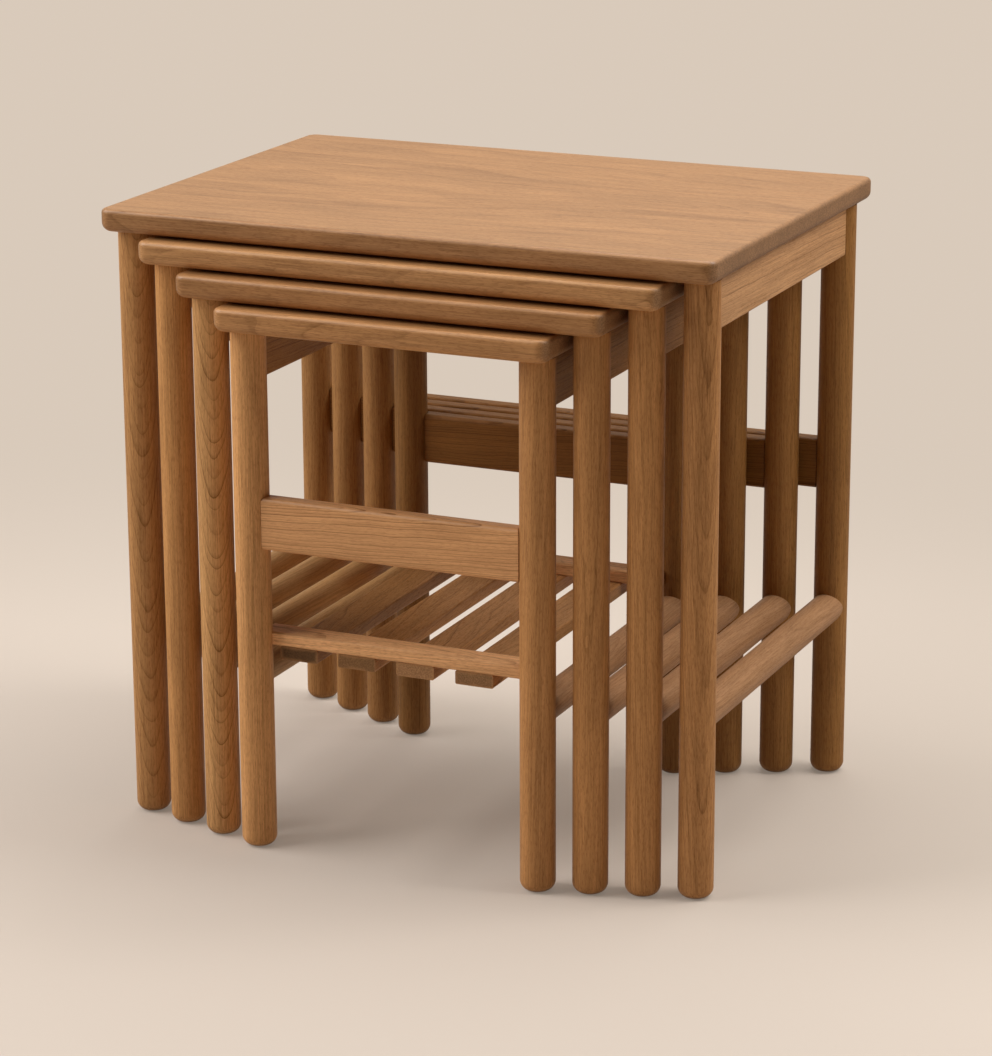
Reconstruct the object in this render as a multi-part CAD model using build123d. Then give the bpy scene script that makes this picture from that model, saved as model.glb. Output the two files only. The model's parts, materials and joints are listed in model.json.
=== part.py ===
from build123d import *
import os

# A nest of four solid wood tables, in millimetres.
# +X is the right-hand side, +Y the back and +Z up. The floor is z = 0, and the origin is the
# middle of the closed nest's footprint. Table 1 is the largest and outermost, and each next
# table stands inside the one before it: narrower, lower, and a little further forward.

# ---------------------------------------------------------------- the nest
table_count = 4
outer_height = 550.0            # floor to the upper face of table 1
outer_leg_width = 520.0         # between table 1's leg axes, side to side
outer_leg_depth = 336.0         # between table 1's leg axes, front to back
front_step = 13.0               # how far each table's front legs stand ahead of the last one's
side_clearance = 7.25           # between a table's top and the legs it slides between
height_clearance = 2.5          # between a table's top and the underside of the top above it
rest_gap = 0.3                  # left between rear legs and the back rail that stops them

# ---------------------------------------------------------------- tops
top_thickness = 20.0
top_side_overhang = 20.0        # past the leg axes
top_front_overhang = 30.0
top_back_overhang = 34.0
top_corner_radius = 10.5        # seen from above
top_upper_rounding = 4.0
top_lower_rounding = 8.0
rounding_margin = 0.5           # the edge roundings stay this much under the corner radius

# ---------------------------------------------------------------- legs
leg_diameter = 30.5
foot_rounding = 9.0
spigot_diameter = 16.0          # turned on the upper end of a leg, glued into the top
spigot_length = 12.0

# ---------------------------------------------------------------- aprons, flat, under each side of a top
apron_thickness = 20.0
apron_height = 44.0
apron_rounding = 2.0
apron_tenon_drop = 10.0         # from the apron's upper edge to its tenon
apron_tenon_lift = 6.0          # from the apron's lower edge to its tenon

# ---------------------------------------------------------------- rails, flat, halfway up
rail_thickness = 17.0
rail_height = 46.0
rail_clear_height = 268.5       # floor to the back rails' lower edges
rail_rounding = 4.0
rail_shoulder_easing = 1.0      # around the ends, where they meet the legs
rail_tenon_shoulder = 6.0       # above and below the tenon
back_rail_offset = 4.0          # outward from the leg axes, so the next table's legs stand closer
front_rail_offset = 1.0         # outward from the leg axes
front_rail_lift = 2.5           # the front rail is this much higher than the back ones

# ---------------------------------------------------------------- stretchers, round, low at each side
stretcher_diameter = 28.0
stretcher_axis_height = 159.0
stretcher_tenon_diameter = 16.0

# ---------------------------------------------------------------- joints between bars and legs
tenon_thickness = 8.0           # of the flat bars' tenons
tenon_depth = 16.0              # into the leg from its surface
glue_gap = 0.05                 # around a tenon, and at its shoulder
end_gap = 0.5                   # left at the blind end of a socket

# ---------------------------------------------------------------- slatted shelf of the smallest table
shelf_height = 195.0            # floor to the upper face of the cross boards
board_depth = 24.0
board_thickness = 12.0
board_inset = 15.0              # the boards lie this far inward of the leg axes
board_end_inset = 6.0           # the board ends stop this far short of the leg axes
board_rounding = 2.0
board_tenon_depth = 8.0         # front to back
board_tenon_thickness = 6.0
slat_count = 4
slat_width = 35.0
slat_gap = 20.0
slat_thickness = 12.0
slat_rounding = 1.5
slat_end_setback = 1.0          # from the boards' outer faces
slat_group_offset = -10.0       # the middle of the slats, from the middle of the table

# ---------------------------------------------------------------- screws
top_screw_shank = 4.5
top_screw_head = 8.5
top_screw_head_height = 3.0
top_screw_grip = 12.0           # how far it reaches into the top
top_screw_inset = 70.0          # from the leg axes
counterbore_diameter = 10.0
counterbore_depth = 20.0
slat_screw_shank = 3.5
slat_screw_head = 7.0
slat_screw_head_height = 2.2
slat_screw_grip = 8.0           # how far it reaches into the board
screw_clearance = 0.25          # around a shank where it passes through

# ---------------------------------------------------------------- worked out from the sizes above
leg_radius = leg_diameter / 2
side_step = leg_radius + top_side_overhang + side_clearance
height_step = top_thickness + height_clearance
rear_step = rail_thickness / 2 - back_rail_offset + leg_radius + rest_gap
nest_front = -(table_count - 1) * front_step - top_front_overhang
nest_back = outer_leg_depth + top_back_overhang
front_leg_line = -(nest_front + nest_back) / 2
slat_pitch = slat_width + slat_gap
largest_rounding = top_corner_radius - rounding_margin


class Table:
    """Places of one table's legs, and its height. Number 1 is the outermost."""

    def __init__(self, number):
        inward = number - 1
        self.leg_x = outer_leg_width / 2 - inward * side_step
        self.front_y = front_leg_line - inward * front_step
        self.rear_y = front_leg_line + outer_leg_depth - inward * rear_step
        self.height = outer_height - inward * height_step
        self.underside = self.height - top_thickness
        self.has_shelf = number == table_count


# ---------------------------------------------------------------- plain shapes
def block(x_range, y_range, z_range):
    """Box between two limits along each axis."""
    size = [high - low for low, high in (x_range, y_range, z_range)]
    middle = [(high + low) / 2 for low, high in (x_range, y_range, z_range)]
    return Pos(*middle) * Box(*size)


def upright(x, y, radius, z_range):
    """Cylinder standing between two heights."""
    height = z_range[1] - z_range[0]
    return Pos(x, y, z_range[0] + height / 2) * Cylinder(radius, height)


def lying_along_y(x, z, radius, y_range):
    """Cylinder lying front to back."""
    length = y_range[1] - y_range[0]
    return Pos(x, y_range[0] + length / 2, z) * Rot(X=90) * Cylinder(radius, length)


def around(middle, width):
    return (middle - width / 2, middle + width / 2)


def grown(limits, amount):
    return (limits[0] - amount, limits[1] + amount)


def rounded_along(bar, axis, radius):
    """Round a bar's four long edges."""
    return fillet(bar.edges().filter_by(axis), radius)


def coped(bar, table, rows):
    """Hollow a bar's ends to fit round the legs in the named rows."""
    for y in rows:
        for x in (-table.leg_x, table.leg_x):
            bar = bar - upright(x, y, leg_radius + glue_gap, (0, table.height))
    return bar


# ---------------------------------------------------------------- tenons, and the sockets they fill
def span_between_legs(low_axis, high_axis, extra=0.0):
    """Limits of a pair of tenons joined by their bar, from one leg axis to another."""
    return (low_axis + leg_radius - tenon_depth - extra, high_axis - leg_radius + tenon_depth + extra)


def apron_tenons(table, side, play=0.0, extra=0.0):
    tenon_z = (table.underside - apron_height + apron_tenon_lift, table.underside - apron_tenon_drop)
    return block(
        grown(around(side * table.leg_x, tenon_thickness), play),
        span_between_legs(table.front_y, table.rear_y, extra),
        grown(tenon_z, play),
    )


def stretcher_tenons(table, side, play=0.0, extra=0.0):
    return lying_along_y(
        side * table.leg_x,
        stretcher_axis_height,
        stretcher_tenon_diameter / 2 + play,
        span_between_legs(table.front_y, table.rear_y, extra),
    )


def rail_places(table):
    """Leg line, middle line and lower edge of each rail."""
    places = {"back": (table.rear_y, table.rear_y + back_rail_offset, rail_clear_height)}
    if table.has_shelf:
        front_bottom = rail_clear_height + front_rail_lift
        places["front"] = (table.front_y, table.front_y - front_rail_offset, front_bottom)
    return places


def rail_tenons(table, rail_y, bottom, play=0.0, extra=0.0):
    tenon_z = (bottom + rail_tenon_shoulder, bottom + rail_height - rail_tenon_shoulder)
    return block(
        span_between_legs(-table.leg_x, table.leg_x, extra),
        grown(around(rail_y, tenon_thickness), play),
        grown(tenon_z, play),
    )


def board_tenons(table, leg_y, board_y, play=0.0, extra=0.0):
    """The tenon is midway between the leg's axis and the middle of the board."""
    tenon_z = around(shelf_height - board_thickness / 2, board_tenon_thickness)
    return block(
        span_between_legs(-table.leg_x, table.leg_x, extra),
        grown(around((leg_y + board_y) / 2, board_tenon_depth), play),
        grown(tenon_z, play),
    )


def board_places(table):
    """Leg line and middle line of the front and back cross boards."""
    return {
        "front": (table.front_y, table.front_y + board_inset),
        "back": (table.rear_y, table.rear_y - board_inset),
    }


def leg_sockets(table):
    """Everything that is cut out of a table's legs."""
    sockets = []
    for _, rail_y, bottom in rail_places(table).values():
        sockets.append(rail_tenons(table, rail_y, bottom, glue_gap, end_gap))
    for side in (-1, 1):
        sockets.append(apron_tenons(table, side, glue_gap, end_gap))
        sockets.append(stretcher_tenons(table, side, glue_gap, end_gap))
    if table.has_shelf:
        for leg_y, board_y in board_places(table).values():
            sockets.append(board_tenons(table, leg_y, board_y, glue_gap, end_gap))
    return sockets


# ---------------------------------------------------------------- pieces of every table
def leg(table, x, y, sockets):
    """Round leg: rounded foot, spigot on top, sockets for the bars that meet it."""
    post = upright(x, y, leg_radius, (0, table.underside))
    post = fillet(post.edges().sort_by(Axis.Z)[0], foot_rounding)
    spigot_top = table.underside + spigot_length
    post = post + upright(x, y, spigot_diameter / 2, (table.underside, spigot_top))
    for socket in sockets:
        post = post - socket
    return post


def screw_places(table):
    """Points on the aprons' middle lines where the top is screwed down."""
    rows = (table.front_y + top_screw_inset, table.rear_y - top_screw_inset)
    return [(side * table.leg_x, y) for side in (-1, 1) for y in rows]


def top(table):
    """Solid board with blind holes for the leg spigots and the screws."""
    half_width = table.leg_x + top_side_overhang
    board = block(
        (-half_width, half_width),
        (table.front_y - top_front_overhang, table.rear_y + top_back_overhang),
        (table.underside, table.height),
    )
    board = fillet(board.edges().filter_by(Axis.Z), top_corner_radius)
    lower_edges = board.faces().sort_by(Axis.Z)[0].edges()
    board = fillet(lower_edges, min(top_lower_rounding, largest_rounding))
    upper_edges = board.faces().sort_by(Axis.Z)[-1].edges()
    board = fillet(upper_edges, min(top_upper_rounding, largest_rounding))
    bore_radius = spigot_diameter / 2 + glue_gap
    bore_top = table.underside + spigot_length + end_gap
    for x in (-table.leg_x, table.leg_x):
        for y in (table.front_y, table.rear_y):
            board = board - upright(x, y, bore_radius, (table.underside, bore_top))
    pilot_radius = top_screw_shank / 2 + glue_gap
    pilot_top = table.underside + top_screw_grip + end_gap
    for x, y in screw_places(table):
        board = board - upright(x, y, pilot_radius, (table.underside, pilot_top))
    return board


def apron(table, side):
    """Flat board under one side of the top, tenoned into both legs and bored for two screws."""
    bottom = table.underside - apron_height
    bar = block(
        around(side * table.leg_x, apron_thickness),
        (table.front_y, table.rear_y),
        (bottom, table.underside),
    )
    lengthwise = bar.edges().filter_by(Axis.Y).sort_by(Axis.Z)
    bar = fillet(lengthwise[:2], apron_rounding)     # the upper two meet the top
    bar = coped(bar, table, (table.front_y, table.rear_y))
    bar = bar + apron_tenons(table, side)
    seat = bottom + counterbore_depth
    hole_radius = top_screw_shank / 2 + screw_clearance
    for x, y in screw_places(table):
        if x * side > 0:
            bar = bar - upright(x, y, counterbore_diameter / 2, (bottom, seat))
            bar = bar - upright(x, y, hole_radius, (seat, table.underside))
    return bar


def stretcher(table, side):
    """Round bar low at one side, its ends hollowed to the legs, with round tenons."""
    bar = lying_along_y(
        side * table.leg_x,
        stretcher_axis_height,
        stretcher_diameter / 2,
        (table.front_y, table.rear_y),
    )
    bar = coped(bar, table, (table.front_y, table.rear_y))
    return bar + stretcher_tenons(table, side)


def rail(table, leg_y, rail_y, bottom):
    """Flat bar across a pair of legs: eased ends, hollowed to the legs, with flat tenons."""
    bar = block(
        (-table.leg_x, table.leg_x),
        around(rail_y, rail_thickness),
        (bottom, bottom + rail_height),
    )
    bar = rounded_along(bar, Axis.X, rail_rounding)
    bar = coped(bar, table, (leg_y,))
    ends = bar.faces().sort_by(Axis.X)
    bar = fillet(ends[0].edges() + ends[-1].edges(), rail_shoulder_easing)
    return bar + rail_tenons(table, rail_y, bottom)


def top_screw(x, y, head_seat, tip):
    """Pan head screw driven upwards: its head bears on the counterbore's end."""
    head = upright(x, y, top_screw_head / 2, (head_seat - top_screw_head_height, head_seat))
    shank = upright(x, y, top_screw_shank / 2, (head_seat, tip))
    return head + shank


def top_screws(table):
    head_seat = table.underside - apron_height + counterbore_depth
    tip = table.underside + top_screw_grip
    return Compound(children=[top_screw(x, y, head_seat, tip) for x, y in screw_places(table)])


# ---------------------------------------------------------------- the slatted shelf
def slat_middles():
    first = slat_group_offset - (slat_count - 1) * slat_pitch / 2
    return [first + index * slat_pitch for index in range(slat_count)]


def slat_screw_shape(x, y, play=0.0):
    """Countersunk screw driven up through a slat into a cross board."""
    slat_bottom = shelf_height - board_thickness - slat_thickness
    head_top = slat_bottom + slat_screw_head_height
    tip = shelf_height - board_thickness + slat_screw_grip + play
    head = Pos(x, y, slat_bottom + slat_screw_head_height / 2) * Cone(
        slat_screw_head / 2 + play, slat_screw_shank / 2 + play, slat_screw_head_height
    )
    return head + upright(x, y, slat_screw_shank / 2 + play, (head_top, tip))


def shelf_screw_places(table):
    return [(x, board_y) for x in slat_middles() for _, board_y in board_places(table).values()]


def cross_board(table, leg_y, board_y):
    """Flat board between two legs, fitted round them, that carries the slats below it."""
    end_x = table.leg_x - board_end_inset
    bar = block(
        (-end_x, end_x),
        around(board_y, board_depth),
        (shelf_height - board_thickness, shelf_height),
    )
    bar = rounded_along(bar, Axis.X, board_rounding)
    bar = coped(bar, table, (leg_y,))
    bar = bar + board_tenons(table, leg_y, board_y)
    for x in slat_middles():
        bar = bar - slat_screw_shape(x, board_y, glue_gap)
    return bar


def slat(table, x):
    """Shelf slat running front to back under both cross boards."""
    boards = board_places(table)
    reach = board_depth / 2 - slat_end_setback
    slat_top = shelf_height - board_thickness
    bar = block(
        around(x, slat_width),
        (boards["front"][1] - reach, boards["back"][1] + reach),
        (slat_top - slat_thickness, slat_top),
    )
    bar = rounded_along(bar, Axis.Y, slat_rounding)
    for _, board_y in boards.values():
        bar = bar - slat_screw_shape(x, board_y, glue_gap)
    return bar


# ---------------------------------------------------------------- the assembly
def table_pieces(table):
    """Every piece of one table, by name."""
    sockets = leg_sockets(table)
    pieces = {"top": top(table)}
    for row, y in (("front", table.front_y), ("rear", table.rear_y)):
        for hand, side in (("left", -1), ("right", 1)):
            pieces[f"leg_{row}_{hand}"] = leg(table, side * table.leg_x, y, sockets)
    for hand, side in (("left", -1), ("right", 1)):
        pieces[f"apron_{hand}"] = apron(table, side)
        pieces[f"stretcher_{hand}"] = stretcher(table, side)
    for row, (leg_y, rail_y, bottom) in rail_places(table).items():
        pieces[f"{row}_rail"] = rail(table, leg_y, rail_y, bottom)
    pieces["top_screws"] = top_screws(table)
    if table.has_shelf:
        for row, (leg_y, board_y) in board_places(table).items():
            pieces[f"shelf_{row}_board"] = cross_board(table, leg_y, board_y)
        for index, x in enumerate(slat_middles(), start=1):
            pieces[f"shelf_slat_{index}"] = slat(table, x)
        screws = [slat_screw_shape(x, y) for x, y in shelf_screw_places(table)]
        pieces["shelf_screws"] = Compound(children=screws)
    return pieces


os.makedirs("parts", exist_ok=True)
for number in range(1, table_count + 1):
    for name, piece in table_pieces(Table(number)).items():
        export_step(piece, f"parts/table_{number}_{name}.step")
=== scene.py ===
import json
import math
import random

import bmesh
import bpy
from bpy.props import FloatProperty, FloatVectorProperty, PointerProperty
from mathutils import Euler, Matrix, Vector

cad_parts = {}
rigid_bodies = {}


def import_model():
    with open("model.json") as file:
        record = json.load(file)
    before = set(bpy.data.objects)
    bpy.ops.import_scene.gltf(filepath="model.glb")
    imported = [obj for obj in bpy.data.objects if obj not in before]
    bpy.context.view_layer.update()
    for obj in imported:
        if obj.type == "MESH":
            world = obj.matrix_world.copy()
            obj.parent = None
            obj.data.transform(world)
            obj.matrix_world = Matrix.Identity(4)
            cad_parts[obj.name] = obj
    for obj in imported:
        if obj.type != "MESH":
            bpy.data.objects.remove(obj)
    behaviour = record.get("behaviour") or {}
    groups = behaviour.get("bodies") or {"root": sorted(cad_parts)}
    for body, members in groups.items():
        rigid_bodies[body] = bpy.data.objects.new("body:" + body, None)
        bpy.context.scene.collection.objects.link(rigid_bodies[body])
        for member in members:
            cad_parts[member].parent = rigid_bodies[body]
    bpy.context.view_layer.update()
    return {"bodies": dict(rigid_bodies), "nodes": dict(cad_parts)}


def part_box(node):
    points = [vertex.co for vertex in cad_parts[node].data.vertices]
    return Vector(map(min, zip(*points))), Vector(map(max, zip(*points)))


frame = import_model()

bl_info = {
    "name": "Nesting tables",
    "version": (1, 0, 0),
    "blender": (4, 5, 0),
    "location": "3D View > Sidebar > Nesting tables",
    "description": "Gives a nest of wooden tables their solid wood, and lights them",
    "category": "Object",
}

table_numbers = range(1, len(frame["bodies"]) + 1)      # from the largest table to the smallest
smallest = table_numbers[-1]
hands = ("left", "right")
millimetre = 0.001


# ---------------------------------------------------------------- what a user can change
class WoodSettings(bpy.types.PropertyGroup):
    """The wood and its lacquer."""

    pale_wood: FloatVectorProperty(
        name="Pale wood",
        description="Colour of the wood between the dark lines of the rings",
        subtype="COLOR",
        size=4,
        min=0,
        max=1,
        default=(0.5, 0.24, 0.083, 1),
    )
    dark_wood: FloatVectorProperty(
        name="Dark wood",
        description="Colour of the dark line that closes each ring",
        subtype="COLOR",
        size=4,
        min=0,
        max=1,
        default=(0.2, 0.08, 0.02, 1),
    )
    end_wood: FloatVectorProperty(
        name="End grain",
        description="Colour where the boards are cut across the grain",
        subtype="COLOR",
        size=4,
        min=0,
        max=1,
        default=(0.28, 0.145, 0.062, 1),
    )
    # Paler edges: partly the stain rubbed thin, partly a painted sheen along the edges.
    rubbed_and_sheen_wood: FloatVectorProperty(
        name="Rubbed edges and sheen",
        description="Colour of the edges, where hands have rubbed the stain thin",
        subtype="COLOR",
        size=4,
        min=0,
        max=1,
        default=(0.5, 0.25, 0.1, 1),
    )
    rub_and_sheen_width: FloatProperty(
        name="Width of the rubbed edges",
        description="How far the rubbing reaches in from an edge",
        unit="LENGTH",
        default=3.5 * millimetre,
    )
    fleck_strength: FloatProperty(
        name="Flecks",
        description="How much darker the short flecks are than the wood round them",
        subtype="FACTOR",
        min=0,
        max=1,
        default=0.26,
    )
    roughness: FloatProperty(
        name="Roughness",
        description="Roughness of the satin lacquer",
        subtype="FACTOR",
        min=0,
        max=1,
        default=0.46,
    )
    grain_depth: FloatProperty(
        name="Grain depth",
        description="How deep the pores lie under the lacquer's surface",
        unit="LENGTH",
        default=0.12 * millimetre,
    )


class StageSettings(bpy.types.PropertyGroup):
    """Floor, lamps and camera."""

    floor_colour: FloatVectorProperty(
        name="Floor",
        description="Colour of the floor",
        subtype="COLOR",
        size=4,
        min=0,
        max=1,
        default=(0.63, 0.55, 0.48, 1),
    )
    background: FloatVectorProperty(
        name="Background",
        description="Colour of the room round the floor",
        subtype="COLOR",
        size=4,
        min=0,
        max=1,
        default=(0.694, 0.591, 0.494, 1),
    )
    floor_evenness: FloatProperty(
        name="Even floor",
        description="How far the floor's own shading is evened out near the tables",
        subtype="FACTOR",
        min=0,
        max=1,
        default=0.25,
    )
    fade_start: FloatProperty(
        name="Fade start",
        description="Distance at which the floor begins to fade into the background",
        unit="LENGTH",
        default=0.75,
    )
    fade_end: FloatProperty(
        name="Fade end",
        description="Distance from which the floor has the colour of the background",
        unit="LENGTH",
        default=1.9,
    )
    floor_radius: FloatProperty(
        name="Floor radius",
        description="Half of the floor's width",
        unit="LENGTH",
        default=30.0,
    )
    mirrored_room: FloatProperty(
        name="Mirrored room",
        description="Brightness of the room in the sheen, against the room as it is looked at",
        default=0.7,
    )
    room_light: FloatProperty(
        name="Room light",
        description="Strength of the light that comes from all round",
        default=0.08,
    )
    room_light_colour: FloatVectorProperty(
        name="Room light colour",
        description="Colour of the light that comes from all round",
        subtype="COLOR",
        size=4,
        min=0,
        max=1,
        default=(1.0, 0.86, 0.68, 1),
    )
    left_lamp: FloatProperty(
        name="Left lamp",
        description="Power of the wide lamp on the left",
        unit="POWER",
        default=112.0,
    )
    upper_lamp: FloatProperty(
        name="Upper lamp",
        description="Power of the wide lamp overhead",
        unit="POWER",
        default=54.0,
    )
    right_lamp: FloatProperty(
        name="Right lamp",
        description="Power of the lamp behind on the right",
        unit="POWER",
        default=56.0,
    )
    camera_place: FloatVectorProperty(
        name="Camera",
        description="Where the camera stands",
        subtype="TRANSLATION",
        unit="LENGTH",
        default=(1.2535, -2.764, 1.1397),
    )
    camera_turn: FloatVectorProperty(
        name="Camera turn",
        description="How the camera is turned about X, Y and Z",
        subtype="EULER",
        unit="ROTATION",
        default=(math.radians(73.654), 0.0, math.radians(24.227)),
    )
    camera_roll: FloatProperty(
        name="Camera roll",
        description="Turn of the picture about the line of sight",
        unit="ROTATION",
        default=math.radians(-0.237),
    )
    camera_shift: FloatProperty(
        name="Camera shift",
        description="How far the picture is shifted upwards, against its longer side",
        default=0.0018,
    )
    focal_length: FloatProperty(
        name="Focal length",
        description="Focal length on a sensor 36 mm along its longer side",
        unit="CAMERA",
        default=121.53,
    )


# ---------------------------------------------------------------- help with node trees
class Tree:
    """Adds nodes to a tree and joins them in one call."""

    def __init__(self, tree):
        self.tree = tree

    def add(self, kind, given=None, **settings):
        node = self.tree.nodes.new("ShaderNode" + kind)
        for name, value in settings.items():
            setattr(node, name, value)
        for socket, value in (given or {}).items():
            self.give(node.inputs[socket], value)
        return node

    def give(self, socket, value):
        if isinstance(value, bpy.types.NodeSocket):
            self.tree.links.new(value, socket)
        else:
            socket.default_value = value

    def maths(self, operation, *values):
        given = dict(enumerate(values))
        return self.add("Math", given, operation=operation).outputs[0]

    def vector(self, operation, *values):
        node = self.add("VectorMath", dict(enumerate(values)), operation=operation)
        name = "Value" if operation in ("LENGTH", "DOT_PRODUCT") else "Vector"
        return node.outputs[name]

    def scaled(self, vector, amount):
        given = {"Vector": vector, "Scale": amount}
        return self.add("VectorMath", given, operation="SCALE").outputs[0]

    def noise(self, place, size, detail=2.0, roughness=0.5, output="Fac"):
        """Noise with spots of the given size along each axis, in millimetres."""
        per_metre = [1 / (length * millimetre) for length in size]
        given = {
            "Vector": self.vector("MULTIPLY", place, per_metre),
            "Scale": 1.0,
            "Detail": detail,
            "Roughness": roughness,
        }
        return self.add("TexNoise", given).outputs[output]

    def between(self, value, low, high, to_low=0.0, to_high=1.0):
        """Eases from to_low to to_high while the value goes from low to high."""
        given = {
            "Value": value,
            "From Min": low,
            "From Max": high,
            "To Min": to_low,
            "To Max": to_high,
        }
        return self.add("MapRange", given, interpolation_type="SMOOTHSTEP").outputs[0]

    def mix(self, factor, first, second):
        """Goes from the first colour to the second while the factor goes from 0 to 1."""
        node = self.add("Mix", data_type="RGBA")
        # The node has sockets for other kinds of value too; these are the ones for colours.
        for index, value in ((0, factor), (6, first), (7, second)):
            self.give(node.inputs[index], value)
        return node.outputs[2]


def new_group(name, inputs, outputs):
    """A shader node group with named sockets, the tree in it, what it is given and its result."""
    group = bpy.data.node_groups.new(name, "ShaderNodeTree")
    kinds = {
        "float": "NodeSocketFloat",
        "vector": "NodeSocketVector",
        "colour": "NodeSocketColor",
    }
    for in_out, sockets in (("INPUT", inputs), ("OUTPUT", outputs)):
        for socket, kind in sockets.items():
            group.interface.new_socket(name=socket, in_out=in_out, socket_type=kinds[kind])
    entry = group.nodes.new("NodeGroupInput").outputs
    result = group.nodes.new("NodeGroupOutput").inputs
    return group, Tree(group), entry, result


def new_material(name):
    """A material that has no nodes yet, and the tree in it."""
    material = bpy.data.materials.new(name)
    material.use_nodes = True
    material.node_tree.nodes.clear()
    return material, Tree(material.node_tree)


# ---------------------------------------------------------------- shared effects
# Sizes of the wood's markings along the grain and across it, in millimetres.
drift_size = (230, 60, 60)      # slow bends of the rings
ripple_size = (38, 26, 26)      # small bends of the rings
fibre_size = (55, 1.2, 1.2)
band_size = (160, 4, 4)         # dark growth, narrower than a streak
streak_size = (280, 17, 17)
cloud_size = (150, 40, 40)      # regions a little paler or darker than the rest
fleck_size = (5.5, 0.7, 0.7)
pore_size = (4, 1.3, 1.3)       # seen on sawn ends
patch_size = (22, 22, 22)       # on rubbed edges with their painted sheen

# How dark the wood is through a year's growth, from its beginning at 0 to its end at 1.
ring_shades = ((0.0, 0.3), (0.06, 0.0), (0.68, 0.08), (0.9, 0.5), (0.955, 1.0))
weather_pace = 0.45             # how quickly wide years give way to narrow ones
weather_reach = 1.6             # by how many years a ring is moved by it
faintest_ring = 0.35            # against the darkest
ripple_reach = 3.5 * millimetre

band_strength = 0.5
streak_strength = 0.5
ground_shade = 0.2              # how dark the wood is where nothing marks it
cloud_range = (0.93, 1.07)
pore_range = (0.7, 1.3)
end_cover = 0.8                 # how far end grain hides the rings
fleck_stain = (0.3, 0.1, 0.03, 1)
white = (1, 1, 1, 1)


def ring_profile(tree, phase):
    """One year's growth: pale at first, darkening slowly to a thin dark line."""
    ramp = tree.add("ValToRGB", {"Fac": phase})
    stops = ramp.color_ramp
    stops.interpolation = "EASE"
    while len(stops.elements) < len(ring_shades):
        stops.elements.new(0.5)
    for element, (position, shade) in zip(stops.elements, ring_shades):
        element.position = position
        element.color = (shade, shade, shade, 1)
    return ramp.outputs["Color"]


def growth_rings(tree, bent, taper, ring_width):
    """The dark lines that close each year's growth, in rings round a heart along X."""
    radius = tree.vector("LENGTH", tree.vector("MULTIPLY", bent, (0, 1, 1)))
    along = tree.add("SeparateXYZ", {0: bent}).outputs[0]
    radius = tree.maths("MULTIPLY_ADD", along, taper, radius)
    age = tree.maths("DIVIDE", radius, ring_width)
    given = {"W": age, "Scale": weather_pace, "Detail": 1.0}
    weather = tree.add("TexNoise", given, noise_dimensions="1D").outputs["Fac"]
    age = tree.maths("MULTIPLY_ADD", weather, weather_reach, age)
    profile = ring_profile(tree, tree.maths("FRACT", age))
    year = tree.maths("FLOOR", age)
    luck = tree.add("TexWhiteNoise", {"W": year}, noise_dimensions="1D").outputs["Value"]
    return tree.maths("MULTIPLY", profile, tree.between(luck, 0.0, 1.0, faintest_ring, 1.0))


def solid_wood_group():
    """Wood as it grows: rings round a heart along X, with fibres, flecks and end grain."""
    group, tree, entry, result = new_group(
        "Solid wood",
        {
            "Place": "vector",
            "Across Grain": "float",
            "Pale Wood": "colour",
            "Dark Wood": "colour",
            "End Wood": "colour",
            "Ring Width": "float",
            "Taper": "float",
            "Ring Strength": "float",
            "Wander": "float",
            "Fibre Strength": "float",
            "Fleck Strength": "float",
            "Tint": "colour",
        },
        {"Color": "colour", "Rings": "float", "Flecks": "float", "Fibres": "float"},
    )
    place = entry["Place"]
    middle = (0.5, 0.5, 0.5)

    drift = tree.noise(place, drift_size, 2.0, 0.45, "Color")
    drift = tree.scaled(tree.vector("SUBTRACT", drift, middle), entry["Wander"])
    ripple = tree.noise(place, ripple_size, 1.0, 0.4, "Color")
    ripple = tree.scaled(tree.vector("SUBTRACT", ripple, middle), ripple_reach)
    bent = tree.vector("ADD", tree.vector("ADD", place, drift), ripple)

    rings = growth_rings(tree, bent, entry["Taper"], entry["Ring Width"])
    bands = tree.noise(bent, band_size)
    streaks = tree.noise(bent, streak_size)
    fibres = tree.noise(place, fibre_size, 3.0, 0.65)
    flecks = tree.between(tree.noise(place, fleck_size, 1.0), 0.5, 0.66)
    clouds = tree.noise(place, cloud_size)
    pores = tree.noise(place, pore_size, 2.0, 0.6)

    shade = tree.maths("MULTIPLY", rings, entry["Ring Strength"])
    for marking, strength in (
        (bands, band_strength),
        (streaks, streak_strength),
        (fibres, entry["Fibre Strength"]),
    ):
        marking = tree.maths("SUBTRACT", marking, 0.5)
        shade = tree.maths("MULTIPLY_ADD", marking, strength, shade)
    shade = tree.maths("ADD", shade, ground_shade)
    shade = tree.add("Clamp", {"Value": shade}).outputs[0]
    colour = tree.mix(shade, entry["Pale Wood"], entry["Dark Wood"])

    end_colour = tree.scaled(entry["End Wood"], tree.between(pores, 0.3, 0.7, *pore_range))
    colour = tree.mix(tree.maths("MULTIPLY", entry["Across Grain"], end_cover), colour, end_colour)

    fleck_share = tree.maths("MULTIPLY", flecks, entry["Fleck Strength"])
    colour = tree.vector("MULTIPLY", colour, tree.mix(fleck_share, white, fleck_stain))
    colour = tree.scaled(colour, tree.between(clouds, 0.25, 0.75, *cloud_range))
    # The tint holds each piece's tone together with its painted light and shade.
    colour = tree.vector("MULTIPLY", colour, entry["Tint"])

    tree.give(result["Color"], colour)
    tree.give(result["Rings"], rings)
    tree.give(result["Flecks"], flecks)
    tree.give(result["Fibres"], fibres)
    return group


def end_grain_group():
    """How squarely a surface cuts the grain: 1 on a sawn end, 0 along a board."""
    group, tree, entry, result = new_group(
        "End grain",
        {"Facing": "vector", "Grain": "vector"},
        {"Across Grain": "float"},
    )
    square = tree.vector("DOT_PRODUCT", entry["Facing"], entry["Grain"])
    square = tree.maths("ABSOLUTE", square)
    tree.give(result["Across Grain"], tree.between(square, 0.35, 0.85))
    return group


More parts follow.
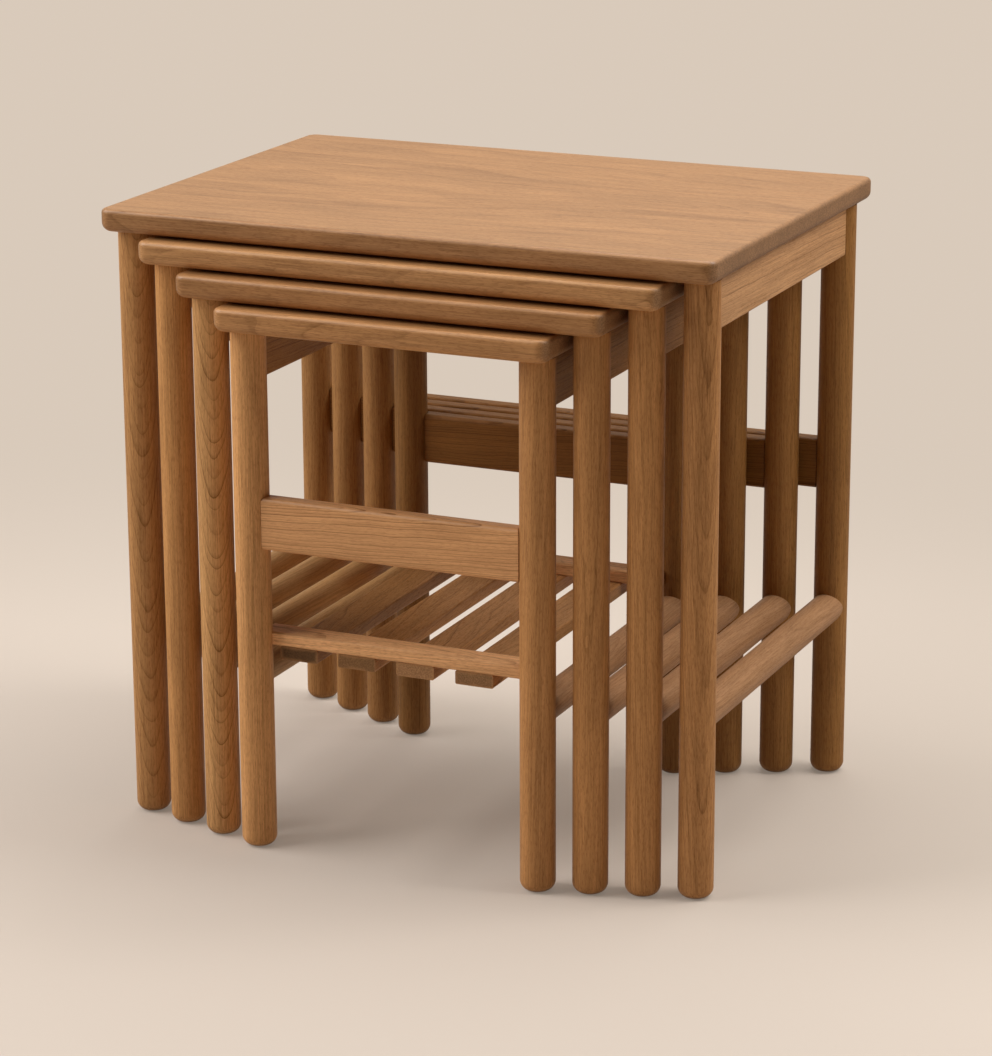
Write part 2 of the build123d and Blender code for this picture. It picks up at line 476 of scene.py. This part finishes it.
def rubbed_edge_and_sheen_group():
    """Where two faces of a piece meet: worn unevenly, and paler as a painted sheen."""
    group, tree, entry, result = new_group(
        "Rubbed edges and sheen",
        {"Place": "vector", "Low Corner": "vector", "High Corner": "vector", "Width": "float"},
        {"Rubbed And Sheen": "float"},
    )
    from_low = tree.vector("SUBTRACT", entry["Place"], entry["Low Corner"])
    from_high = tree.vector("SUBTRACT", entry["High Corner"], entry["Place"])
    nearest = tree.add("SeparateXYZ", {0: tree.vector("MINIMUM", from_low, from_high)}).outputs

    def of_all(operation):
        return tree.maths(operation, tree.maths(operation, nearest[0], nearest[1]), nearest[2])

    # One face is always near; an edge is where the second nearest is near too.
    second = tree.maths("SUBTRACT", of_all("ADD"), of_all("MINIMUM"))
    second = tree.maths("SUBTRACT", second, of_all("MAXIMUM"))
    share = tree.maths("DIVIDE", second, entry["Width"])
    patches = tree.noise(entry["Place"], patch_size, 3.0, 0.6)
    wear_and_sheen = tree.between(patches, 0.35, 0.75, to_low=-0.1, to_high=0.7)
    share = tree.maths("ADD", share, wear_and_sheen)
    tree.give(result["Rubbed And Sheen"], tree.between(share, 0.0, 1.0, to_low=1.0, to_high=0.0))
    return group


def shared(name, maker):
    """A node group, made the first time that it is asked for."""
    return bpy.data.node_groups.get(name) or maker()


# ---------------------------------------------------------------- materials
# The grain may run along any axis of the nest; a log lies along X.
ways = {"X": Vector((1, 0, 0)), "Y": Vector((0, 1, 0)), "Z": Vector((0, 0, 1))}
turn_to_x = {
    "X": Matrix.Identity(3),
    "Y": Matrix.Rotation(-math.pi / 2, 3, "Z"),
    "Z": Matrix.Rotation(math.pi / 2, 3, "Y"),
}

log_part = (2, 9)               # metres of the log that a piece may come from
luck_range = (0.98, 1.02)       # brightness that a piece has by chance
past_joint = 0.1                # how far off a side in a joint is taken to lie, so it gets neither rubbing nor painted sheen
rub_and_sheen_cover = 0.4              # how far the rubbed colour, with its painted sheen, hides the wood
fleck_dullness = 0.12           # added to the lacquer's roughness
end_dullness = 0.14
rubbed_polish = 0.15            # taken off the lacquer's roughness
fleck_hollow = 0.8              # depth of a fleck against the height of a fibre
ring_hollow = 0.3
relief_strength = 0.6
surface_shine = 0.16            # specular level of the stained wood
coat_roughness = 0.38
upright_coat = 0.3              # lacquer on upright faces against that on level ones


class Cut:
    """How a piece was sawn from its log and finished, with lengths in metres.

    heart       how far the log's heart lies from the piece's middle
    side        direction in which the heart lies, in degrees about the grain
    run_out     slant of the grain to the piece, in degrees
    taper       how fast the rings close in along the piece
    ring        width of a year's growth
    strength    how dark the rings' lines are
    wander      how far the slow bends carry the rings
    tint        colour against the nest's common wood, with painted light and shade where the piece stands
    ends        brightness of its sawn ends against the common one, set to paint light and shade on them
    fibres      how plain its fibres are
    flecks      how plain its flecks are against the common ones
    relief      depth of its grain against the common one
    coat        thickness of its lacquer, from 0 to 1
    """

    def __init__(
        self,
        heart=0.09,
        side=0.0,
        run_out=0.0,
        taper=0.0,
        ring=0.004,
        strength=0.4,
        wander=0.012,
        tint=(1.0, 1.0, 1.0),
        ends=1.0,
        fibres=1.5,
        flecks=1.0,
        relief=1.0,
        coat=0.0,
    ):
        self.heart = heart
        self.side = math.radians(side)
        self.run_out = math.radians(run_out)
        self.taper = taper
        self.ring = ring
        self.strength = strength
        self.wander = wander
        self.tint = tint
        self.ends = ends
        self.fibres = fibres
        self.flecks = flecks
        self.relief = relief
        self.coat = coat


def wood_figure(tree, place, across_grain, cut, luck):
    """Colour and markings of one piece, from the shared solid wood."""
    settings = bpy.context.scene.nest_wood
    wood = tree.add("Group", node_tree=shared("Solid wood", solid_wood_group))
    given = {
        "Place": place,
        "Across Grain": across_grain,
        "Pale Wood": settings.pale_wood,
        "Dark Wood": settings.dark_wood,
        "End Wood": tuple(cut.ends * share for share in settings.end_wood[:3]) + (1,),
        "Ring Width": cut.ring,
        "Taper": cut.taper,
        "Ring Strength": cut.strength,
        "Wander": cut.wander,
        "Fibre Strength": cut.fibres,
        "Fleck Strength": settings.fleck_strength * cut.flecks,
        "Tint": tuple(luck * share for share in cut.tint) + (1,),
    }
    for socket, value in given.items():
        tree.give(wood.inputs[socket], value)
    return wood.outputs


def rubbed_edges_and_sheen(tree, place, node, joined):
    """How far a piece's edges are rubbed and given a painted sheen; its joined sides are named as
    in "-X +X".
    """
    low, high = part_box(node)
    joined_low = Vector([float("-" + axis in joined) for axis in "XYZ"])
    joined_high = Vector([float("+" + axis in joined) for axis in "XYZ"])
    edges = tree.add("Group", node_tree=shared("Rubbed edges and sheen", rubbed_edge_and_sheen_group))
    tree.give(edges.inputs["Place"], place)
    tree.give(edges.inputs["Low Corner"], low - past_joint * joined_low)
    tree.give(edges.inputs["High Corner"], high + past_joint * joined_high)
    tree.give(edges.inputs["Width"], bpy.context.scene.nest_wood.rub_and_sheen_width)
    return tree.maths("MULTIPLY", edges.outputs["Rubbed And Sheen"], rub_and_sheen_cover)


def wood_material(node, grain, cut, joined):
    """Material of one wooden piece, with its own place in the log."""
    settings = bpy.context.scene.nest_wood
    material, tree = new_material(node.replace("_", " ") + " wood")
    coordinates = tree.add("TexCoord").outputs
    chance = random.Random(node)

    turn = Matrix.Rotation(cut.run_out, 3, "Z") @ Matrix.Rotation(cut.side, 3, "X")
    turn = turn @ turn_to_x[grain]
    low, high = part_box(node)
    in_log = Vector((chance.uniform(*log_part), cut.heart, 0))
    given = {
        "Vector": coordinates["Object"],
        "Location": in_log - turn @ ((low + high) / 2),
        "Rotation": turn.to_euler(),
    }
    place = tree.add("Mapping", given).outputs[0]

    ends = tree.add("Group", node_tree=shared("End grain", end_grain_group))
    tree.give(ends.inputs["Facing"], coordinates["Normal"])
    tree.give(ends.inputs["Grain"], ways[grain])
    across_grain = ends.outputs["Across Grain"]

    wood = wood_figure(tree, place, across_grain, cut, chance.uniform(*luck_range))
    rub_and_sheen = rubbed_edges_and_sheen(tree, coordinates["Object"], node, joined)
    roughness = tree.maths("MULTIPLY_ADD", wood["Flecks"], fleck_dullness, settings.roughness)
    roughness = tree.maths("MULTIPLY_ADD", across_grain, end_dullness, roughness)
    roughness = tree.maths("MULTIPLY_ADD", rub_and_sheen, -rubbed_polish, roughness)
    relief = tree.maths("MULTIPLY_ADD", wood["Flecks"], -fleck_hollow, wood["Fibres"])
    relief = tree.maths("MULTIPLY_ADD", wood["Rings"], -ring_hollow, relief)
    depth = settings.grain_depth * cut.relief
    given = {"Strength": relief_strength, "Distance": depth, "Height": relief}
    bump = tree.add("Bump", given).outputs[0]

    given = {
        # The rubbed colour also paints a sheen along the edges.
        "Base Color": tree.mix(rub_and_sheen, wood["Color"], settings.rubbed_and_sheen_wood),
        "Roughness": roughness,
        "Normal": bump,
        "Specular IOR Level": surface_shine,
        "Coat Roughness": coat_roughness,
    }
    if cut.coat:
        upward = tree.vector("DOT_PRODUCT", coordinates["Normal"], (0, 0, 1))
        given["Coat Weight"] = tree.between(upward, 0.1, 0.95, upright_coat * cut.coat, cut.coat)
    shader = tree.add("BsdfPrincipled", given)
    tree.add("OutputMaterial", {"Surface": shader.outputs[0]})
    return material


def dress(node, material):
    """Puts a material on every slot of a CAD piece."""
    piece = frame["nodes"][node]
    for slot in piece.material_slots:
        slot.material = material


def finish_wood(node, grain, cut, joined=""):
    dress(node, wood_material(node, grain, cut, joined))


# ---------------------------------------------------------------- the kinds of piece
class FinishTops(bpy.types.Operator):
    """Flat-sawn boards with the grain from side to side"""

    bl_idname = "nest.finish_tops"
    bl_label = "Tops"

    def execute(self, context):
        # Each top's tint is partly the wood's tone and partly painted light: painted sheen on the
        # first top, and light that lifts the shade under the overhang on the second and fourth.
        tones_and_painted_light = ((0.83, 0.88, 1.02), (1.17, 1.28, 1.48), (0.89, 0.92, 1.0), (1.14, 1.2, 1.33))
        for number, tint in zip(table_numbers, tones_and_painted_light):
            cut = Cut(
                heart=0.05,
                side=90,
                taper=0.12,
                ring=0.016,
                strength=0.35,
                wander=0.06,
                tint=tint,
                relief=0.15,
                coat=0.7,
            )
            finish_wood(f"table_{number}_top", "X", cut)
        return {"FINISHED"}


# Legs with a look of their own: flames of wide rings, or a tint of another colour. Their tints are
# partly the wood's tone and partly painted light and shade.
leg_cuts = {
    "table_1_leg_front_left": Cut(
        heart=-0.08,
        side=151,
        taper=-0.17,
        ring=0.0038,
        strength=0.5,
        wander=0.008,
        tint=(1.08, 1.16, 1.25),
    ),
    "table_2_leg_front_left": Cut(heart=0.1, side=30, strength=0.25, tint=(1.25, 1.31, 1.35)),
    "table_3_leg_front_left": Cut(
        heart=-0.07,
        side=151,
        taper=-0.2,
        ring=0.0034,
        strength=0.85,
        wander=0.008,
        tint=(1.32, 1.5, 1.7),
    ),
    "table_4_leg_front_left": Cut(heart=0.1, side=40, strength=0.2, tint=(1.49, 1.62, 1.83)),
    "table_1_leg_front_right": Cut(
        heart=-0.05,
        side=140,
        run_out=3,
        ring=0.0035,
        strength=0.5,
        tint=(1.03, 1.05, 1.1),
    ),
}

# Tints of the other legs, partly the wood's tone: painted shade darkens the rear legs and painted
# light brightens the front ones.
painted_light_leg_tints = {
    ("front", "right"): (1.1, 1.12, 1.14),
    ("rear", "left"): (0.8, 0.82, 0.78),
    ("rear", "right"): (0.72, 0.72, 0.6),
}
smallest_leg_painted_light_tints = {"front": (1.12, 1.15, 1.2), "rear": (0.62, 0.62, 0.52)}


def plain_leg_cut(name, tint):
    """A leg from anywhere in the log."""
    chance = random.Random(name + " cut")
    return Cut(
        heart=chance.uniform(0.06, 0.12),
        side=chance.uniform(0, 360),
        run_out=chance.uniform(-2, 2),
        ring=chance.uniform(0.003, 0.005),
        strength=chance.uniform(0.15, 0.35),
        tint=tint,
    )


class FinishLegs(bpy.types.Operator):
    """Turned legs with the grain upright"""

    bl_idname = "nest.finish_legs"
    bl_label = "Legs"

    def execute(self, context):
        for number in table_numbers:
            for row in ("front", "rear"):
                for hand in hands:
                    self.leg(number, row, hand)
        return {"FINISHED"}

    def leg(self, number, row, hand):
        name = f"table_{number}_leg_{row}_{hand}"
        cut = leg_cuts.get(name)
        if not cut:
            # The tint paints shade on the rear legs and light on the front ones.
            tint = smallest_leg_painted_light_tints[row] if number == smallest else painted_light_leg_tints[row, hand]
            cut = plain_leg_cut(name, tint)
        finish_wood(name, "Z", cut, joined="+Z")


class FinishAprons(bpy.types.Operator):
    """Boards under the tops' sides, with the grain from front to back"""

    bl_idname = "nest.finish_aprons"
    bl_label = "Aprons"

    def execute(self, context):
        # Tints are partly the wood's tone and partly painted light: the first table's aprons are
        # lit, and the smaller tables' aprons are shaded under the tops above them.
        tones_and_painted_light = ((1.2, 1.38, 1.88), (0.92, 0.92, 0.74), (0.92, 0.92, 0.71), (0.75, 0.73, 0.56))
        for number, tint in zip(table_numbers, tones_and_painted_light):
            for hand in hands:
                cut = Cut(
                    heart=0.07,
                    side=55,
                    run_out=-1,
                    ring=0.0042,
                    strength=0.6,
                    tint=tint,
                    flecks=0.6,
                )
                finish_wood(f"table_{number}_apron_{hand}", "Y", cut, joined="-Y +Y +Z")
        return {"FINISHED"}


class FinishStretchers(bpy.types.Operator):
    """Round bars low at the sides"""

    bl_idname = "nest.finish_stretchers"
    bl_label = "Stretchers"

    def execute(self, context):
        # Tints are partly the wood's tone and partly painted light and shade: the left stretchers
        # are lifted out of their shade, and the right ones are toned down where light falls.
        tones_and_painted_light = {"left": (1.01, 1.18, 1.39), "right": (0.85, 0.95, 1.33)}
        for number in table_numbers:
            for hand in hands:
                name = f"table_{number}_stretcher_{hand}"
                chance = random.Random(name + " cut")
                cut = Cut(
                    heart=0.08,
                    side=chance.uniform(0, 360),
                    run_out=2,
                    strength=0.3,
                    tint=tones_and_painted_light[hand],
                    flecks=0.5,
                )
                finish_wood(name, "Y", cut, joined="-Y +Y")
        return {"FINISHED"}


class FinishRails(bpy.types.Operator):
    """Flat bars across the legs"""

    bl_idname = "nest.finish_rails"
    bl_label = "Rails"

    def execute(self, context):
        for number in table_numbers:
            # The back rails are darkened with painted shade and the front rail is lightened with
            # painted light, on top of the wood's tone.
            self.rail(f"table_{number}_back_rail", tint=(0.58, 0.53, 0.36), coat=0.15)
        self.rail("table_4_front_rail", tint=(1.53, 1.69, 2.15), coat=0.6)
        return {"FINISHED"}

    def rail(self, name, tint, coat):
        cut = Cut(
            heart=0.06,
            side=70,
            run_out=3,
            ring=0.0028,
            strength=1.0,
            tint=tint,
            fibres=0.8,
            flecks=0.6,
            coat=coat,
        )
        finish_wood(name, "X", cut, joined="-X +X")


class FinishShelf(bpy.types.Operator):
    """Cross boards and slats of the shelf"""

    bl_idname = "nest.finish_shelf"
    bl_label = "Shelf"

    def execute(self, context):
        for row in ("front", "back"):
            # The boards' tint is partly the wood's tone and partly painted light.
            cut = Cut(heart=0.07, side=80, run_out=2, strength=0.45, tint=(1.68, 1.93, 2.6))
            finish_wood(f"table_4_shelf_{row}_board", "X", cut, joined="-X +X")

        # Tint of each slat and the brightness of its ends, both partly painted light and shade
        # where each slat lies under the boards.
        slat_tones_and_painted_shade = (
            ((0.68, 0.68, 0.68), 0.42),
            ((0.93, 0.94, 0.94), 0.66),
            ((0.97, 1.01, 1.1), 1.18),
            ((0.97, 1.02, 1.12), 0.8),
        )
        for number, (tint, ends) in enumerate(slat_tones_and_painted_shade, start=1):
            name = f"table_4_shelf_slat_{number}"
            chance = random.Random(name + " cut")
            cut = Cut(
                heart=0.07,
                side=chance.uniform(60, 120),
                run_out=3,
                strength=0.5,
                tint=tint,
                ends=ends,
            )
            finish_wood(name, "Y", cut)
        return {"FINISHED"}


class FinishScrews(bpy.types.Operator):
    """Zinc plated screws in the aprons and the slats"""

    bl_idname = "nest.finish_screws"
    bl_label = "Screws"

    def execute(self, context):
        dull_zinc = (0.55, 0.54, 0.5, 1)
        bright_zinc = (0.68, 0.68, 0.66, 1)
        bloom_size = (1.5, 1.5, 1.5)

        material, tree = new_material("Zinc plated steel")
        place = tree.add("TexCoord").outputs["Object"]
        bloom = tree.noise(place, bloom_size, 3.0, 0.6)
        given = {
            "Base Color": tree.mix(bloom, dull_zinc, bright_zinc),
            "Roughness": tree.between(bloom, 0.3, 0.7, to_low=0.28, to_high=0.45),
            "Metallic": 1.0,
        }
        shader = tree.add("BsdfPrincipled", given)
        tree.add("OutputMaterial", {"Surface": shader.outputs[0]})
        for number in table_numbers:
            dress(f"table_{number}_top_screws", material)
        dress("table_4_shelf_screws", material)
        return {"FINISHED"}


# ---------------------------------------------------------------- floor, lamps and camera
before_nest = (0.0, -0.6, 0.0)  # middle of the floor on which the drawn-out tables stand
floor_cloud_size = (900, 900, 900)
floor_cloud_range = (0.985, 1.015)
floor_roughness = 0.7


def room_as_seen(tree, settings):
    """Masks of the rays that look at the room and of those that mirror it, and its brightness."""
    path = tree.add("LightPath").outputs
    mirrored = path["Is Glossy Ray"]
    looked_at = tree.maths("MAXIMUM", path["Is Camera Ray"], path["Is Transmission Ray"])
    brightness = tree.maths("MULTIPLY_ADD", mirrored, settings.mirrored_room, looked_at)
    return looked_at, mirrored, brightness


def floor_material(settings):
    """Plain floor; where it is seen it fades with distance into the colour of the room."""
    material, tree = new_material("Plain pale floor")
    place = tree.add("TexCoord").outputs["Object"]
    clouds = tree.noise(place, floor_cloud_size)
    tint = tree.between(clouds, 0.2, 0.8, *floor_cloud_range)
    colour = tree.scaled(settings.floor_colour[:3], tint)
    shader = tree.add("BsdfPrincipled", {"Base Color": colour, "Roughness": floor_roughness})

    looked_at, mirrored, brightness = room_as_seen(tree, settings)
    distance = tree.vector("LENGTH", tree.vector("SUBTRACT", place, before_nest))
    reach = (settings.fade_start, settings.fade_end)
    fade = tree.between(distance, *reach, settings.floor_evenness, 1.0)
    share = tree.maths("MAXIMUM", tree.maths("MULTIPLY", looked_at, fade), mirrored)
    glow = tree.add("Emission", {"Color": settings.background, "Strength": brightness})
    mixed = tree.add("MixShader", {0: share, 1: shader.outputs[0], 2: glow.outputs[0]})
    tree.add("OutputMaterial", {"Surface": mixed.outputs[0]})
    return material


class SetStage(bpy.types.Operator):
    """Plain pale floor, soft lamps, pale room and the camera"""

    bl_idname = "nest.set_stage"
    bl_label = "Stage"

    def execute(self, context):
        scene = context.scene
        settings = scene.nest_stage
        self.floor(scene, settings)
        self.room(scene, settings)
        self.lamps(scene, settings)
        self.camera(scene, settings)
        scene.view_settings.view_transform = "Standard"
        return {"FINISHED"}

    def floor(self, scene, settings):
        shape = bmesh.new()
        bmesh.ops.create_grid(shape, x_segments=1, y_segments=1, size=settings.floor_radius)
        data = bpy.data.meshes.new("Floor")
        shape.to_mesh(data)
        shape.free()
        data.materials.append(floor_material(settings))
        floor = bpy.data.objects.new("Floor", data)
        scene.collection.objects.link(floor)

    def room(self, scene, settings):
        world = bpy.data.worlds.new("Pale room")
        world.use_nodes = True
        world.node_tree.nodes.clear()
        tree = Tree(world.node_tree)
        looked_at, mirrored, brightness = room_as_seen(tree, settings)
        given = {"Color": settings.room_light_colour, "Strength": settings.room_light}
        lit = tree.add("Background", given).outputs[0]
        given = {"Color": settings.background, "Strength": brightness}
        shown = tree.add("Background", given).outputs[0]
        share = tree.maths("MAXIMUM", looked_at, mirrored)
        mixed = tree.add("MixShader", {0: share, 1: lit, 2: shown})
        tree.add("OutputWorld", {"Surface": mixed.outputs[0]})
        scene.world = world

    def lamps(self, scene, settings):
        left, upper, right = settings.left_lamp, settings.upper_lamp, settings.right_lamp
        for name, power, width, place, aim, colour in (
            ("Left lamp", left, 2.6, (-2.6, -1.15, 2.4), (0, 0, 0.3), (1.0, 0.98, 0.97)),
            ("Upper lamp", upper, 2.4, (0.2, 0.75, 2.8), (0, 0, 0.4), (1.0, 0.98, 0.95)),
            ("Right lamp", right, 1.4, (2.1, 0.7, 2.6), (0, 0, 0.3), (1.0, 0.97, 0.93)),
        ):
            data = bpy.data.lights.new(name, "AREA")
            data.shape = "SQUARE"
            data.size = width
            data.energy = power
            data.color = colour
            lamp = bpy.data.objects.new(name, data)
            lamp.location = place
            way = Vector(aim) - Vector(place)
            lamp.rotation_euler = way.to_track_quat("-Z", "Y").to_euler()
            scene.collection.objects.link(lamp)

    def camera(self, scene, settings):
        data = bpy.data.cameras.new("Camera")
        data.lens = settings.focal_length
        data.shift_y = settings.camera_shift
        camera = bpy.data.objects.new("Camera", data)
        turn = Euler(settings.camera_turn).to_matrix()
        turn = turn @ Matrix.Rotation(settings.camera_roll, 3, "Z")
        camera.location = settings.camera_place
        camera.rotation_euler = turn.to_euler()
        scene.collection.objects.link(camera)
        scene.camera = camera


# ---------------------------------------------------------------- panel and registration
class NestPanel(bpy.types.Panel):
    """Lists the nest's pieces and what can be changed"""

    bl_idname = "NEST_PT_panel"
    bl_label = "Nesting tables"
    bl_space_type = "VIEW_3D"
    bl_region_type = "UI"
    bl_category = "Nesting tables"

    def draw(self, context):
        for operator in operators:
            self.layout.operator(operator.bl_idname)
        for settings in (context.scene.nest_wood, context.scene.nest_stage):
            box = self.layout.box()
            for name in settings.bl_rna.properties.keys():
                if name not in ("rna_type", "name"):
                    box.prop(settings, name)


operators = (
    FinishTops,
    FinishLegs,
    FinishAprons,
    FinishStretchers,
    FinishRails,
    FinishShelf,
    FinishScrews,
    SetStage,
)
classes = (WoodSettings, StageSettings, *operators, NestPanel)


def register():
    for kind in classes:
        bpy.utils.register_class(kind)
    bpy.types.Scene.nest_wood = PointerProperty(type=WoodSettings)
    bpy.types.Scene.nest_stage = PointerProperty(type=StageSettings)


def unregister():
    del bpy.types.Scene.nest_wood
    del bpy.types.Scene.nest_stage
    for kind in reversed(classes):
        bpy.utils.unregister_class(kind)


def main():
    register()
    for operator in operators:
        group, name = operator.bl_idname.split(".")
        getattr(getattr(bpy.ops, group), name)()


if __name__ == "__main__":
    main()
